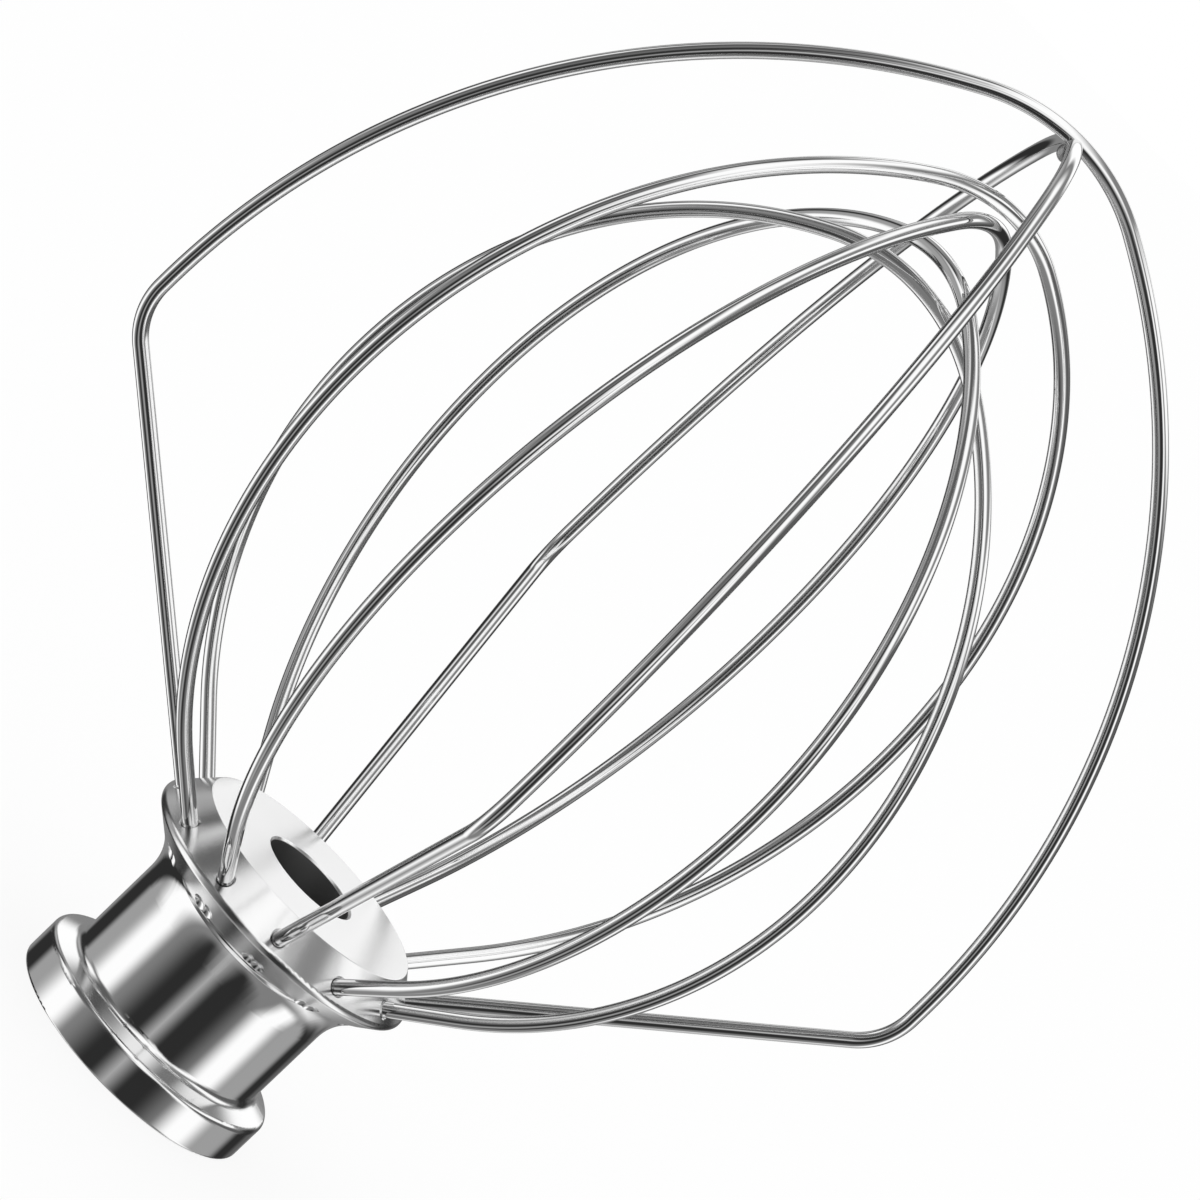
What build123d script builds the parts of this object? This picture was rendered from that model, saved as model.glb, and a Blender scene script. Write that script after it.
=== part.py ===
from build123d import *

import math
import os

# Wire whisk for a stand mixer: a turned steel hub with six bent wire loops set in it.
# Millimetres. The hub stands on its collar at Z = 0 and the loops rise along +Z.

# Hub: height and the socket for the drive shaft
hub_height = 31.05
bore_diameter = 12.9
bore_edge = 0.3

# Hub: barrel, and the collar at its foot, whose top slopes up to the barrel
barrel_diameter = 28.75
collar_overhang = 3.25
collar_height = 5.2
collar_rise = 1.1
collar_round = 0.8
base_round = 0.4
foot_round = 1.2

# Hub: skirt that carries the wires, with a flat plateau on top and a sloped drilled rim round it
plateau_diameter = 32.6
plateau_round = 0.15
rim_width = 6.2
lip_round = 0.8
throat_round = 7.0

# Hub: slot in the socket that the shaft's cross pin enters, and the pocket that it turns into
pin_slot_width = 5.0
pin_slot_depth = 2.6
pin_slot_top = 15.0
pin_pocket_height = 5.0
pin_pocket_turn = 60.0

# Wires: stock, angle from the axis where they leave the hub, and the blind holes they are set in
wire_diameter = 2.0
wire_tilt = 49.5
hole_from_plateau = 3.6
hole_clearance = 0.05
hole_bevel = 0.25
hole_depth = 8.0

# Punch marks under the skirt, an overlapping pair at every wire, that close the holes on the wires
stake_depth = 0.4
stake_radius = 1.7
stake_spacing = 1.5
stake_from_rim = 4.3

# Outer loops: crown height of the upper one, half widths, crown radii and shoulder bend
upper_tip = 157.95
upper_reach = 62.7
upper_crown_radius = 25.4
lower_reach = 63.35
lower_crown_radius = 33.5
shoulder_radius = 9.0

# Weld where the outer loops cross: how far one is pressed into the other, and the bead under them
weld_set_down = 1.4
weld_gap = 0.05
weld_bead_diameter = 2.2

# Inner loops: straight lead out of the hub, half widths, crown radii and clear gap up to the next crown
inner_lead = 9.6
first_reach = 48.8
first_crown_radius = 25.0
first_gap = 8.6
second_reach = 47.5
second_crown_radius = 20.0
second_gap = 0.6
third_reach = 47.8
third_crown_radius = 30.0
third_gap = 5.0
fourth_reach = 45.2
fourth_crown_radius = 28.0
fourth_gap = 2.1

# Derived places, as (distance from the axis, height)
tilt = math.radians(wire_tilt)
leg_out, leg_up = math.sin(tilt), math.cos(tilt)
bore_radius = bore_diameter / 2
plateau_radius = plateau_diameter / 2
barrel_radius = barrel_diameter / 2
collar_radius = barrel_radius + collar_overhang
lip = (plateau_radius + rim_width * leg_up, hub_height - rim_width * leg_out)
throat = (barrel_radius, lip[1] - (lip[0] - barrel_radius) * leg_up / leg_out)
hole = (plateau_radius + hole_from_plateau * leg_up, hub_height - hole_from_plateau * leg_out)

# Crown heights, stacked down the axis so that the loops clear each other where they cross
lower_tip = upper_tip - wire_diameter + weld_set_down
first_tip = lower_tip - wire_diameter - first_gap
second_tip = first_tip - wire_diameter - second_gap
third_tip = second_tip - wire_diameter - third_gap
fourth_tip = third_tip - wire_diameter - fourth_gap


def rounded(face, place, radius):
    """Round the corner of a flat section that lies at the given place."""
    corner = face.vertices().sort_by_distance((place[0], place[1], 0))[0]
    return fillet(corner, radius)


def hub_section():
    """Half section of the hub, from the bore's wall out to the collar, barrel, skirt and plateau."""
    collar_corner = (collar_radius, collar_height)
    foot = (barrel_radius, collar_height + collar_rise)
    plateau_edge = (plateau_radius, hub_height)
    outline = [
        (bore_radius, 0),
        (collar_radius, 0),
        collar_corner,
        foot,
        throat,
        lip,
        plateau_edge,
        (bore_radius, hub_height),
    ]
    face = make_face(Polyline(*outline, close=True))
    face = rounded(face, (collar_radius, 0), base_round)
    face = rounded(face, collar_corner, min(collar_round, 0.6 * collar_overhang))
    face = rounded(face, foot, min(foot_round, 0.5 * collar_overhang))
    face = rounded(face, throat, throat_round)
    face = rounded(face, lip, lip_round)
    face = rounded(face, plateau_edge, plateau_round)
    mouths = [face.vertices().sort_by_distance((bore_radius, height, 0))[0] for height in (0, hub_height)]
    face = chamfer(mouths, bore_edge)
    return Plane.XZ * face


def pin_slot():
    """Slot up from the socket's mouth, ending in a pocket that the shaft's pin turns into."""
    reach = bore_radius + pin_slot_depth
    beside = (Align.MIN, Align.CENTER, Align.MIN)
    low = (Align.CENTER, Align.CENTER, Align.MIN)
    entry = Box(reach, pin_slot_width, pin_slot_top, align=beside)
    entry = entry & Cylinder(reach, pin_slot_top, align=low)
    band = Pos(reach / 2, pin_slot_top - pin_pocket_height / 2) * Rectangle(reach, pin_pocket_height)
    return entry + revolve(Plane.XZ * band, Axis.Z, pin_pocket_turn)


def rim_plane(turn):
    """Plane on the drilled rim at one hole, with its normal along the wire that leaves it."""
    normal = Vector(leg_out, 0, leg_up).rotate(Axis.Z, turn)
    origin = Vector(hole[0], 0, hole[1]).rotate(Axis.Z, turn)
    across = Vector(0, 1, 0).rotate(Axis.Z, turn)
    return Plane(origin=origin, x_dir=across, z_dir=normal)


def wire_hole(turn):
    """Blind hole with a bevelled mouth, square to the rim, that one end of a wire is set in."""
    radius = wire_diameter / 2 + hole_clearance
    length = hole_depth + wire_diameter
    above = (Align.CENTER, Align.CENTER, Align.MIN)
    drilled = Pos(0, 0, -hole_depth) * Cylinder(radius, length, align=above)
    bevel = Pos(0, 0, -hole_bevel) * Cone(radius, radius + 2 * hole_bevel, 2 * hole_bevel, align=above)
    return rim_plane(turn) * (drilled + bevel)


def stake_pair(turn):
    """Two overlapping punch dents in the skirt's underside, over the wire that they hold."""
    below = -(rim_width - hole_from_plateau + stake_radius - stake_depth)
    places = [Pos(side * stake_spacing / 2, below, -stake_from_rim) for side in (-1, 1)]
    return [rim_plane(turn) * place * Sphere(stake_radius) for place in places]


def make_hub(hole_turns):
    """Turned hub with its socket, pin slot, wire holes and stake dents."""
    cuts = [pin_slot()]
    for turn in hole_turns:
        cuts.append(wire_hole(turn))
        cuts.extend(stake_pair(turn))
    return revolve(hub_section(), Axis.Z) - cuts


def inner_bend(reach):
    """Radius of the bend from the end of an inner wire's lead to the loop's half width."""
    to_corner = (reach - hole[0]) / leg_out
    return (to_corner - inner_lead) / math.tan(tilt / 2)


def loop_path(tip, reach, crown_radius, bend_radius):
    """Centre line of one loop in the XZ plane: tangent legs, bends, flanks and a crown."""
    widest = hole[1] + (bend_radius * (1 - leg_up) + (reach - hole[0]) * leg_up) / leg_out
    rise = tip - crown_radius - widest
    flank_radius = (reach**2 + rise**2 - crown_radius**2) / (2 * (reach - crown_radius))
    turn_in = math.degrees(math.atan2(rise, flank_radius - reach))
    bend_x = reach - bend_radius
    flank_x = reach - flank_radius
    leg_top = (bend_x + bend_radius * leg_up, widest - bend_radius * leg_out)
    leg_end = (hole[0] - hole_depth * leg_out, hole[1] - hole_depth * leg_up)
    pieces = [
        Line(leg_end, leg_top),
        CenterArc((bend_x, widest), bend_radius, -wire_tilt, wire_tilt),
        CenterArc((flank_x, widest), flank_radius, 0, turn_in),
        CenterArc((0, tip - crown_radius), crown_radius, turn_in, 180 - 2 * turn_in),
        CenterArc((-flank_x, widest), flank_radius, 180 - turn_in, turn_in),
        CenterArc((-bend_x, widest), bend_radius, 180, wire_tilt),
        Line((-leg_top[0], leg_top[1]), (-leg_end[0], leg_end[1])),
    ]
    return Plane.XZ * Wire([piece.edge() for piece in pieces])


def make_loop(turn, sizes, diameter):
    """One wire loop, turned about the axis to its pair of holes."""
    path = loop_path(*sizes)
    section = Plane(origin=path @ 0, z_dir=path % 0) * Circle(diameter / 2)
    return Rot(0, 0, turn) * sweep(section, path=path)


# Loops in their order round the axis: crown height, half width, crown radius and bend radius
loops = {
    "outer_wire_upper": (upper_tip, upper_reach, upper_crown_radius, shoulder_radius),
    "inner_wire_first": (first_tip, first_reach, first_crown_radius, inner_bend(first_reach)),
    "inner_wire_second": (second_tip, second_reach, second_crown_radius, inner_bend(second_reach)),
    "outer_wire_lower": (lower_tip, lower_reach, lower_crown_radius, shoulder_radius),
    "inner_wire_third": (third_tip, third_reach, third_crown_radius, inner_bend(third_reach)),
    "inner_wire_fourth": (fourth_tip, fourth_reach, fourth_crown_radius, inner_bend(fourth_reach)),
}
turns = {name: place * 180 / len(loops) for place, name in enumerate(loops)}

pieces = {name: make_loop(turns[name], sizes, wire_diameter) for name, sizes in loops.items()}
pieces["hub"] = make_hub([turn + side for turn in turns.values() for side in (0, 180)])

# The upper outer wire is pressed into the lower one, which carries the weld's bead and has a saddle there
bead = Pos(0, 0, lower_tip - wire_diameter / 2) * Sphere(weld_bead_diameter / 2)
saddle = make_loop(turns["outer_wire_upper"], loops["outer_wire_upper"], wire_diameter + 2 * weld_gap)
pieces["outer_wire_lower"] = pieces["outer_wire_lower"] + bead - saddle

os.makedirs("parts", exist_ok=True)
for name, piece in pieces.items():
    export_step(piece, f"parts/{name}.step")
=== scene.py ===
import math

import bmesh
import bpy
from mathutils import Matrix, Vector
from mathutils.noise import noise as noise_value


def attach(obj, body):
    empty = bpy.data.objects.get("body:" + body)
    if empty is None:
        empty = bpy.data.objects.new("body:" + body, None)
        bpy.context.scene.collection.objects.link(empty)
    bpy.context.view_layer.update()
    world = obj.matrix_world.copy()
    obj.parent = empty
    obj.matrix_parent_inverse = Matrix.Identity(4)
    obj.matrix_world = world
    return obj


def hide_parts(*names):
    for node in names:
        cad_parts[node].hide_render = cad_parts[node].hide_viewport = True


# Wire whisk for a stand mixer: polished hub, drawn wire loops, a weld at the tip, and a white studio.
# Sizes are in millimetres and become metres where a piece is made.
MM = 0.001

# Hub rim that the wires leave, and the angle of the wires from the axis
HUB_HEIGHT = 31.05
PLATEAU_RADIUS = 16.3
RIM_WIDTH = 6.2
BORE_RADIUS = 6.45
WIRE_TILT = math.radians(49.5)
HOLE_FROM_PLATEAU = 3.6
HOLE_DEPTH = 8.0
HOLE_OUT = PLATEAU_RADIUS + HOLE_FROM_PLATEAU * math.cos(WIRE_TILT)
HOLE_UP = HUB_HEIGHT - HOLE_FROM_PLATEAU * math.sin(WIRE_TILT)
RIM_FOOT = HUB_HEIGHT - RIM_WIDTH * math.sin(WIRE_TILT)

# Hub heights between which the collar's sloped top and the roundings beside it lie
SLOPE_FOOT = 4.4
SLOPE_TOP = 7.3

# Wires: stock, faces round it, bend at the outer shoulders, straight lead of the inner wires
WIRE_DIAMETER = 2.0
WIRE_SIDES = 28
SHOULDER_RADIUS = 9.0
INNER_LEAD = 9.6

# Weld bead: size, how far its middle is below the lower outer wire's underside, and its lumps, as a share of
# its size and by how close they stand
WELD_BEAD_RADIUS = 1.15
WELD_BEAD_DROP = 0.2
WELD_LUMPS = 0.06
WELD_LUMP_SCALE = 1.7

# Loops in their order round the axis: crown height, half width and crown radius
LOOPS = {
    "outer_wire_upper": (157.95, 62.7, 25.4),
    "inner_wire_first": (146.75, 48.8, 25.0),
    "inner_wire_second": (144.15, 47.5, 20.0),
    "outer_wire_lower": (157.35, 63.35, 33.5),
    "inner_wire_third": (137.15, 47.8, 30.0),
    "inner_wire_fourth": (133.05, 45.2, 28.0),
}
TURNS = {name: place * 180 / len(LOOPS) for place, name in enumerate(LOOPS)}

# Camera, from the photograph's perspective
CAMERA_PLACE = Vector((-98.27, -682.08, 219.43))
CAMERA_RIGHT = Vector((0.70549, 0.0430, 0.70741))
CAMERA_UP = Vector((-0.69481, 0.2387, 0.67841))
CAMERA_LENS = 178.63
CAMERA_SENSOR = 36.0
CAMERA_TURN = math.degrees(math.atan2(CAMERA_PLACE.y, CAMERA_PLACE.x))

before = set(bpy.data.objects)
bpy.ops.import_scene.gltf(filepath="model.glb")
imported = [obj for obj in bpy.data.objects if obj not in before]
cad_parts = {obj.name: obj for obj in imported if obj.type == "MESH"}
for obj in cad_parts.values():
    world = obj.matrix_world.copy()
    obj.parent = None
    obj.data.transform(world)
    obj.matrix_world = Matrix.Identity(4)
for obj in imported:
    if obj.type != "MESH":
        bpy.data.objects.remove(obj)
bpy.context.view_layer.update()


# Small helpers for node trees

def add(tree, kind, **settings):
    """New node with the given settings."""
    node = tree.nodes.new(kind)
    for name, value in settings.items():
        setattr(node, name, value)
    return node


def math_node(tree, operation, *values):
    """Math node, with each value either a number or a socket."""
    node = add(tree, "ShaderNodeMath", operation=operation)
    for socket, value in zip(node.inputs, values):
        join(tree, value, socket)
    return node.outputs[0]


def join(tree, value, socket):
    """Link a socket, or set a plain value."""
    if isinstance(value, bpy.types.NodeSocket):
        tree.links.new(value, socket)
    else:
        socket.default_value = value


def ramp_between(tree, value, low, high, out_low, out_high):
    """Smooth step of a value from one level to another."""
    node = add(tree, "ShaderNodeMapRange", interpolation_type="SMOOTHSTEP")
    names = ("Value", "From Min", "From Max", "To Min", "To Max")
    for name, given in zip(names, (value, low, high, out_low, out_high)):
        join(tree, given, node.inputs[name])
    return node.outputs["Result"]


def blend(tree, factor, first, second):
    """Mix of two colours, each a plain colour or a socket."""
    node = add(tree, "ShaderNodeMix", data_type="RGBA")
    tree.links.new(factor, node.inputs["Factor"])
    join(tree, first, node.inputs["A"])
    join(tree, second, node.inputs["B"])
    return node.outputs["Result"]


# Camera

def make_camera():
    """Camera at the photograph's place, rolled as it was."""
    camera = bpy.data.objects.new("camera", bpy.data.cameras.new("camera"))
    camera.data.sensor_width = CAMERA_SENSOR
    camera.data.lens = CAMERA_LENS
    camera.data.clip_start = 0.01
    camera.data.clip_end = 20
    back = CAMERA_RIGHT.cross(CAMERA_UP).normalized()
    up = back.cross(CAMERA_RIGHT).normalized()
    right = up.cross(back)
    turn = Matrix((right, up, back)).transposed().to_4x4()
    camera.matrix_world = Matrix.Translation(CAMERA_PLACE * MM) @ turn
    bpy.context.scene.collection.objects.link(camera)
    bpy.context.scene.camera = camera


# Studio: white to the eye, with soft boxes and dark flags round the metal

# Levels of light: soft boxes, the room, its side walls, a grey strip, and flags of dark and of black cloth
SOFT_BOX = 1.2
ROOM_GREY = 0.25
WALL_GREY = 0.4
STRIP_GREY = 0.6
DARK_CLOTH = 0.12
BLACK_CLOTH = 0.03

# Each panel, in degrees: turn from the camera, height above the horizon, roll, half width, half height and
# soft edge, and last its level. A later panel stands before an earlier one.
PANELS = (
    ("left wall", -110, -15, 0, 15, 20, 8, WALL_GREY),
    ("right wall", 110, -15, 0, 15, 20, 8, WALL_GREY),
    ("front flag", 5, -5, 0, 40, 70, 15, BLACK_CLOTH),
    ("front strip", 2, -45, 0, 4, 45, 12, STRIP_GREY),
    ("overhead soft box", -10, 75, 65, 50, 17, 10, SOFT_BOX),
    ("key soft box", 20, 25, 40, 8, 25, 10, SOFT_BOX),
    ("right soft strip", 70, -10, -35, 12, 50, 8, SOFT_BOX),
    ("left soft strip", -88, -40, 35, 15, 45, 10, SOFT_BOX),
    ("left soft box", -95, 35, 35, 20, 20, 8, SOFT_BOX),
    ("right soft box", 105, 40, 5, 25, 10, 5, SOFT_BOX),
    ("high left flag", -75, 45, 55, 35, 15, 8, DARK_CLOTH),
    ("right flag", 120, 5, 25, 50, 12, 4, DARK_CLOTH),
    ("left edge flag", -135, -10, 20, 15, 55, 6, BLACK_CLOTH),
    ("right edge flag", 140, -10, 5, 10, 30, 6, BLACK_CLOTH),
    ("backdrop", 180, 25, -10, 25, 12, 5, SOFT_BOX),
    ("low right soft box", 150, -50, 35, 15, 8, 15, SOFT_BOX),
    ("high soft box", -45, 62, 0, 12, 5, 7, SOFT_BOX),
    ("left back wall", -135, 22, -45, 15, 5, 10, STRIP_GREY),
)


def toward(turn, height):
    """Unit vector to a place in the studio, given from the camera's turn and above the horizon."""
    around = math.radians(CAMERA_TURN + turn)
    above = math.radians(height)
    outward = math.cos(above)
    return Vector((math.cos(around) * outward, math.sin(around) * outward, math.sin(above)))


def panel_group():
    """Node group that lays one soft-edged panel over what is behind it."""
    group = bpy.data.node_groups.new("studio panel", "ShaderNodeTree")
    face = group.interface
    for name in ("Direction", "Facing", "Across", "Upward"):
        face.new_socket(name, in_out="INPUT", socket_type="NodeSocketVector")
    for name in ("Half width", "Half height", "Soft edge", "Strength", "Behind"):
        face.new_socket(name, in_out="INPUT", socket_type="NodeSocketFloat")
    face.new_socket("Light", in_out="OUTPUT", socket_type="NodeSocketFloat")
    given = add(group, "NodeGroupInput").outputs
    result = add(group, "NodeGroupOutput").inputs

    def along(axis):
        node = add(group, "ShaderNodeVectorMath", operation="DOT_PRODUCT")
        group.links.new(given["Direction"], node.inputs[0])
        group.links.new(given[axis], node.inputs[1])
        return node.outputs["Value"]

    def inside(angle, half):
        size = math_node(group, "ABSOLUTE", angle)
        outer = math_node(group, "ADD", given[half], given["Soft edge"])
        inner = math_node(group, "SUBTRACT", given[half], given["Soft edge"])
        return ramp_between(group, size, inner, outer, 1.0, 0.0)

    sideways = math_node(group, "ARCTAN2", along("Across"), along("Facing"))
    upward = math_node(group, "ARCSINE", along("Upward"))
    cover = math_node(group, "MULTIPLY", inside(sideways, "Half width"), inside(upward, "Half height"))
    mix = add(group, "ShaderNodeMix", data_type="FLOAT")
    group.links.new(cover, mix.inputs["Factor"])
    group.links.new(given["Behind"], mix.inputs["A"])
    group.links.new(given["Strength"], mix.inputs["B"])
    group.links.new(mix.outputs["Result"], result["Light"])
    return group


def make_studio():
    """World: white to the camera, plain for the floor, soft boxes and flags for what the metal mirrors."""
    world = bpy.data.worlds.new("studio")
    bpy.context.scene.world = world
    world.use_nodes = True
    tree = world.node_tree
    tree.nodes.clear()
    direction = add(tree, "ShaderNodeTexCoord").outputs["Generated"]
    group = panel_group()
    light = ROOM_GREY
    for name, turn, height, roll, half_width, half_height, soft, strength in PANELS:
        panel = add(tree, "ShaderNodeGroup", node_tree=group, label=name)
        facing = toward(turn, height)
        unrolled = toward(turn, height + 90)
        upward = Matrix.Rotation(math.radians(-roll), 3, facing) @ unrolled
        panel.inputs["Facing"].default_value = facing
        panel.inputs["Upward"].default_value = upward
        panel.inputs["Across"].default_value = upward.cross(facing)
        panel.inputs["Half width"].default_value = math.radians(half_width)
        panel.inputs["Half height"].default_value = math.radians(half_height)
        panel.inputs["Soft edge"].default_value = math.radians(soft)
        panel.inputs["Strength"].default_value = strength
        tree.links.new(direction, panel.inputs["Direction"])
        join(tree, light, panel.inputs["Behind"])
        light = panel.outputs["Light"]
    path = add(tree, "ShaderNodeLightPath")
    plain = add(tree, "ShaderNodeBackground")
    mirrored = add(tree, "ShaderNodeBackground")
    tree.links.new(light, mirrored.inputs["Strength"])
    pick = add(tree, "ShaderNodeMixShader")
    tree.links.new(path.outputs["Is Glossy Ray"], pick.inputs["Fac"])
    tree.links.new(plain.outputs[0], pick.inputs[1])
    tree.links.new(mirrored.outputs[0], pick.inputs[2])
    tree.links.new(pick.outputs[0], add(tree, "ShaderNodeOutputWorld").inputs["Surface"])
    for background in (plain, mirrored):
        background.inputs["Color"].default_value = (1, 1, 1, 1)
    plain.inputs["Strength"].default_value = 1.0


# Floor: width in metres, and the share of plain white that the camera sees in it
FLOOR_WIDTH = 4
FLOOR_WHITE = 0.85


def make_floor():
    """Pale floor under the hub: white to the camera, and it keeps a soft shadow."""
    bpy.ops.mesh.primitive_plane_add(size=FLOOR_WIDTH)
    floor = bpy.context.object
    floor.name = "floor"
    paint = bpy.data.materials.new("pale floor")
    paint.use_nodes = True
    tree = paint.node_tree
    tree.nodes.clear()
    matt = add(tree, "ShaderNodeBsdfDiffuse")
    matt.inputs["Color"].default_value = (0.95, 0.95, 0.95, 1)
    glow = add(tree, "ShaderNodeEmission")
    path = add(tree, "ShaderNodeLightPath")
    part = math_node(tree, "MULTIPLY", path.outputs["Is Camera Ray"], FLOOR_WHITE)
    mix = add(tree, "ShaderNodeMixShader")
    tree.links.new(part, mix.inputs["Fac"])
    tree.links.new(matt.outputs[0], mix.inputs[1])
    tree.links.new(glow.outputs[0], mix.inputs[2])
    tree.links.new(mix.outputs[0], add(tree, "ShaderNodeOutputMaterial").inputs["Surface"])
    floor.data.materials.append(paint)
    floor.visible_glossy = False


# Materials

# Colours of the metals, and the depth of the fine marks in them
STEEL = (0.82, 0.82, 0.82, 1)
# Painted sheen: the plateau's colour is lighter to stand in for the white light its turned face mirrors.
PLATEAU_PAINTED_SHEEN = (0.93, 0.93, 0.93, 1)
# Painted shade: the socket's colour is darkened to stand in for the shade inside the bore.
SOCKET_PAINTED_SHADE = (0.24, 0.24, 0.24, 1)
DARK_WELD = (0.34, 0.34, 0.34, 1)
PALE_WELD = (0.50, 0.50, 0.50, 1)
MARK_DEPTH = 0.02


def new_material(name):
    """Node material with a metal shader, and its tree."""
    material = bpy.data.materials.new(name)
    material.use_nodes = True
    tree = material.node_tree
    shader = tree.nodes["Principled BSDF"]
    shader.inputs["Metallic"].default_value = 1.0
    return material, tree, shader


def noise(tree, vector, scale, detail):
    """Noise value of the given scale and detail over a vector."""
    node = add(tree, "ShaderNodeTexNoise")
    node.inputs["Scale"].default_value = scale
    node.inputs["Detail"].default_value = detail
    tree.links.new(vector, node.inputs["Vector"])
    return node.outputs["Fac"]


def fine_bump(tree, shader, height, strength):
    """Very shallow surface marks."""
    bump = add(tree, "ShaderNodeBump")
    bump.inputs["Strength"].default_value = strength
    bump.inputs["Distance"].default_value = MARK_DEPTH * MM
    tree.links.new(height, bump.inputs["Height"])
    tree.links.new(bump.outputs["Normal"], shader.inputs["Normal"])


def polished_hub_steel():
    """Polished steel, softer on the skirt and slope, satin with a painted sheen on the plateau, and rougher
    with painted shade darkening the socket.
    """
    material, tree, shader = new_material("polished hub steel")
    place = add(tree, "ShaderNodeTexCoord").outputs["Object"]
    split = add(tree, "ShaderNodeSeparateXYZ")
    tree.links.new(place, split.inputs[0])
    height = split.outputs["Z"]
    east = math_node(tree, "POWER", split.outputs["X"], 2.0)
    north = math_node(tree, "POWER", split.outputs["Y"], 2.0)
    radius = math_node(tree, "SQRT", math_node(tree, "ADD", east, north))
    socket = ramp_between(tree, radius, BORE_RADIUS * MM, (BORE_RADIUS + 0.1) * MM, 1.0, 0.0)
    plateau = ramp_between(tree, height, (HUB_HEIGHT - 0.12) * MM, (HUB_HEIGHT - 0.02) * MM, 0.0, 1.0)
    skirt = ramp_between(tree, height, (RIM_FOOT - 3.6) * MM, (RIM_FOOT - 2.2) * MM, 0.0, 1.0)
    slope_begun = ramp_between(tree, height, SLOPE_FOOT * MM, (SLOPE_FOOT + 0.3) * MM, 0.0, 1.0)
    slope_left = ramp_between(tree, height, (SLOPE_TOP - 0.6) * MM, SLOPE_TOP * MM, 1.0, 0.0)
    slope = math_node(tree, "MINIMUM", slope_begun, slope_left)

    lathe = add(tree, "ShaderNodeCombineXYZ")
    tree.links.new(radius, lathe.inputs["X"])
    tree.links.new(height, lathe.inputs["Y"])
    rings = noise(tree, lathe.outputs[0], 2600.0, 3.0)
    clouds = noise(tree, place, 90.0, 4.0)

    # Painted sheen: the plateau is lighter than the rest of the hub.
    colour = blend(tree, plateau, STEEL, PLATEAU_PAINTED_SHEEN)
    # Painted shade: the socket's colour is darkened.
    colour = blend(tree, socket, colour, SOCKET_PAINTED_SHADE)
    tree.links.new(colour, shader.inputs["Base Color"])
    rough = ramp_between(tree, clouds, 0.3, 0.7, 0.03, 0.05)
    for zone, more in ((skirt, 0.14), (slope, 0.08), (plateau, 0.06), (socket, 0.35)):
        rough = math_node(tree, "ADD", rough, math_node(tree, "MULTIPLY", zone, more))
    tree.links.new(rough, shader.inputs["Roughness"])
    fine_bump(tree, shader, rings, 0.03)
    return material


def drawn_wire_steel():
    """Polished wire, with faint lines drawn along it."""
    material, tree, shader = new_material("drawn wire steel")
    along = add(tree, "ShaderNodeAttribute", attribute_name="along").outputs["Fac"]
    around = add(tree, "ShaderNodeAttribute", attribute_name="around").outputs["Fac"]
    lines = add(tree, "ShaderNodeCombineXYZ")
    tree.links.new(math_node(tree, "MULTIPLY", along, 25.0), lines.inputs["X"])
    tree.links.new(math_node(tree, "MULTIPLY", around, 30.0), lines.inputs["Y"])
    streaks = noise(tree, lines.outputs[0], 1.0, 3.0)
    shader.inputs["Base Color"].default_value = STEEL
    tree.links.new(ramp_between(tree, streaks, 0.3, 0.7, 0.02, 0.05), shader.inputs["Roughness"])
    fine_bump(tree, shader, streaks, 0.02)
    return material


def weld_grey():
    """Dull grey weld metal, mottled where it cooled."""
    material, tree, shader = new_material("weld grey")
    place = add(tree, "ShaderNodeTexCoord").outputs["Object"]
    mottle = noise(tree, place, 1500.0, 4.0)
    tint = blend(tree, mottle, DARK_WELD, PALE_WELD)
    tree.links.new(tint, shader.inputs["Base Color"])
    tree.links.new(ramp_between(tree, mottle, 0.3, 0.7, 0.40, 0.55), shader.inputs["Roughness"])
    fine_bump(tree, shader, mottle, 0.4)
    return material


# Wires

def arc(centre, radius, start, end, steps):
    """Points of an arc in the loop's plane, without its last point."""
    turns = [start + (end - start) * step / steps for step in range(steps)]
    return [(centre[0] + radius * math.cos(turn), centre[1] + radius * math.sin(turn)) for turn in turns]


def half_loop(name):
    """Centre line from a wire's end in the hub to its crown, as (distance from the axis, height)."""
    tip, reach, crown_radius = LOOPS[name]
    leg_out, leg_up = math.sin(WIRE_TILT), math.cos(WIRE_TILT)
    bend_radius = SHOULDER_RADIUS
    if name.startswith("inner"):
        bend_radius = ((reach - HOLE_OUT) / leg_out - INNER_LEAD) / math.tan(WIRE_TILT / 2)
    widest = HOLE_UP + (bend_radius * (1 - leg_up) + (reach - HOLE_OUT) * leg_up) / leg_out
    rise = tip - crown_radius - widest
    flank_radius = (reach**2 + rise**2 - crown_radius**2) / (2 * (reach - crown_radius))
    turn_in = math.atan2(rise, flank_radius - reach)
    leg_end = (HOLE_OUT - HOLE_DEPTH * leg_out, HOLE_UP - HOLE_DEPTH * leg_up)
    return [
        leg_end,
        *arc((reach - bend_radius, widest), bend_radius, -WIRE_TILT, 0, 40),
        *arc((reach - flank_radius, widest), flank_radius, 0, turn_in, 60),
        *arc((0, tip - crown_radius), crown_radius, turn_in, math.pi / 2, 24),
        (0, tip),
    ]


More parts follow.
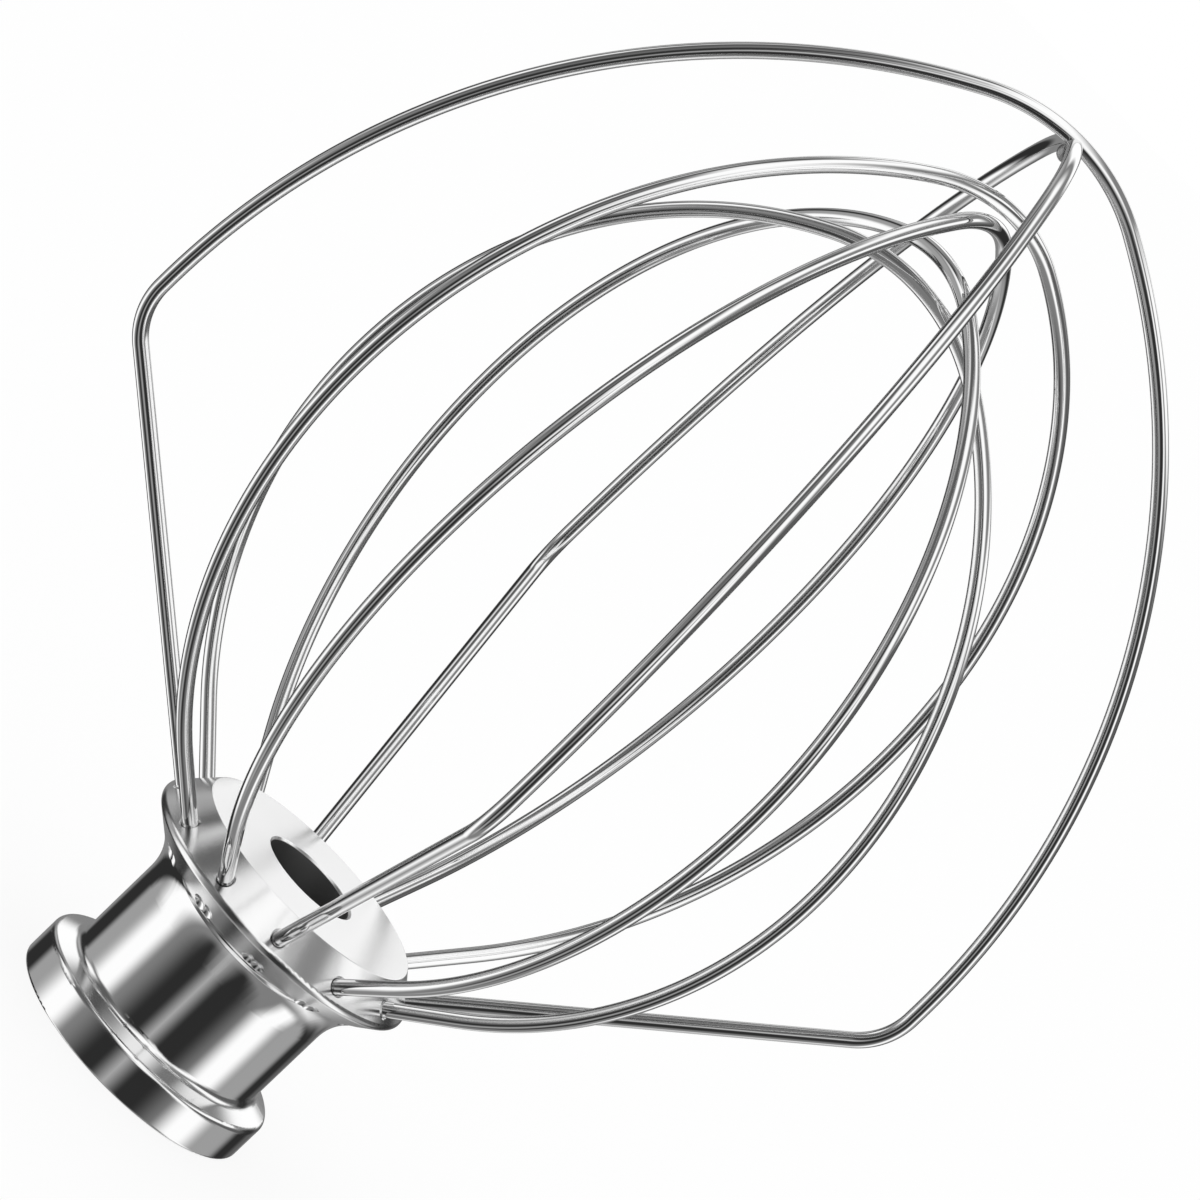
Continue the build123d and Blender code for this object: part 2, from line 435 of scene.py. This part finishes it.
def wire_tree():
    """Geometry Nodes: round wire along a path, turned about the axis, with values along and around it."""
    tree = bpy.data.node_groups.new("wire along path", "GeometryNodeTree")
    face = tree.interface
    face.new_socket("Path", in_out="INPUT", socket_type="NodeSocketGeometry")
    face.new_socket("Diameter", in_out="INPUT", socket_type="NodeSocketFloat")
    face.new_socket("Sides", in_out="INPUT", socket_type="NodeSocketInt")
    face.new_socket("Turn", in_out="INPUT", socket_type="NodeSocketFloat")
    face.new_socket("Finish", in_out="INPUT", socket_type="NodeSocketMaterial")
    face.new_socket("Wire", in_out="OUTPUT", socket_type="NodeSocketGeometry")
    given = add(tree, "NodeGroupInput").outputs

    def keep(geometry, value, name):
        node = add(tree, "GeometryNodeStoreNamedAttribute", data_type="FLOAT", domain="POINT")
        node.inputs["Name"].default_value = name
        tree.links.new(geometry, node.inputs["Geometry"])
        tree.links.new(value, node.inputs["Value"])
        return node.outputs["Geometry"]

    length = add(tree, "GeometryNodeSplineParameter").outputs["Length"]
    path = keep(given["Path"], length, "along")
    circle = add(tree, "GeometryNodeCurvePrimitiveCircle")
    tree.links.new(given["Sides"], circle.inputs["Resolution"])
    half = math_node(tree, "DIVIDE", given["Diameter"], 2.0)
    tree.links.new(half, circle.inputs["Radius"])
    share = add(tree, "GeometryNodeSplineParameter").outputs["Factor"]
    ring = keep(circle.outputs["Curve"], share, "around")
    sweep = add(tree, "GeometryNodeCurveToMesh")
    tree.links.new(path, sweep.inputs["Curve"])
    tree.links.new(ring, sweep.inputs["Profile Curve"])
    sweep.inputs["Fill Caps"].default_value = True
    turn = add(tree, "ShaderNodeCombineXYZ")
    tree.links.new(given["Turn"], turn.inputs["Z"])
    place = add(tree, "GeometryNodeTransform")
    tree.links.new(sweep.outputs["Mesh"], place.inputs["Geometry"])
    tree.links.new(turn.outputs[0], place.inputs["Rotation"])
    whole = add(tree, "GeometryNodeRealizeInstances")
    tree.links.new(place.outputs["Geometry"], whole.inputs["Geometry"])
    finish = add(tree, "GeometryNodeSetMaterial")
    tree.links.new(whole.outputs["Geometry"], finish.inputs["Geometry"])
    tree.links.new(given["Finish"], finish.inputs["Material"])
    tree.links.new(finish.outputs["Geometry"], add(tree, "NodeGroupOutput").inputs["Wire"])
    return tree


def plain_mesh(holder, name):
    """Evaluated result of an object's node tree, as a new object with a plain mesh."""
    graph = bpy.context.evaluated_depsgraph_get()
    mesh = bpy.data.meshes.new_from_object(holder.evaluated_get(graph))
    piece = bpy.data.objects.new(name, mesh)
    bpy.context.scene.collection.objects.link(piece)
    bpy.data.objects.remove(holder)
    return piece


def path_holder(name, points):
    """Curve object that a wire follows, in the XZ plane."""
    curve = bpy.data.curves.new(name, "CURVE")
    curve.dimensions = "3D"
    spline = curve.splines.new("POLY")
    spline.points.add(len(points) - 1)
    for point, (out, up) in zip(spline.points, points):
        point.co = (out * MM, 0, up * MM, 1)
    holder = bpy.data.objects.new(name, curve)
    bpy.context.scene.collection.objects.link(holder)
    return holder


def set_inputs(modifier, **values):
    """Set a node modifier's inputs by the names that its tree gives them."""
    for item in modifier.node_group.interface.items_tree:
        if item.item_type == "SOCKET" and item.in_out == "INPUT" and item.name in values:
            modifier[item.identifier] = values[item.name]


def make_wire(name, tree, finish):
    """One loop of wire, in place of its plain node."""
    half = half_loop(name)
    points = half + [(-out, up) for out, up in reversed(half[:-1])]
    holder = path_holder(name + "_path", points)
    modifier = holder.modifiers.new("wire", "NODES")
    modifier.node_group = tree
    turn = math.radians(TURNS[name])
    set_inputs(modifier, Diameter=WIRE_DIAMETER * MM, Sides=WIRE_SIDES, Turn=turn, Finish=finish)
    wire = plain_mesh(holder, name + "_drawn")
    wire.data.shade_smooth()
    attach(wire, "root")
    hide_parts(name)


# Weld

def make_weld_bead(finish):
    """Lumpy bead of weld metal under the crossing of the outer wires."""
    middle = LOOPS["outer_wire_lower"][0] - WIRE_DIAMETER / 2 - WELD_BEAD_DROP
    shape = bmesh.new()
    bmesh.ops.create_icosphere(shape, subdivisions=4, radius=1.0)
    for vertex in shape.verts:
        lump = noise_value(vertex.co * WELD_LUMP_SCALE)
        size = WELD_BEAD_RADIUS * (1 + WELD_LUMPS * lump)
        vertex.co = (vertex.co * size + Vector((0, 0, middle))) * MM
    mesh = bpy.data.meshes.new("weld_bead")
    shape.to_mesh(mesh)
    shape.free()
    mesh.materials.append(finish)
    mesh.shade_smooth()
    bead = bpy.data.objects.new("weld_bead", mesh)
    bpy.context.scene.collection.objects.link(bead)
    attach(bead, "root")


make_camera()
make_studio()
make_floor()

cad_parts["hub"].material_slots[0].material = polished_hub_steel()
wire_finish = drawn_wire_steel()
loop_tree = wire_tree()
for loop_name in LOOPS:
    make_wire(loop_name, loop_tree, wire_finish)
make_weld_bead(weld_grey())

bpy.context.scene.view_settings.view_transform = "Standard"
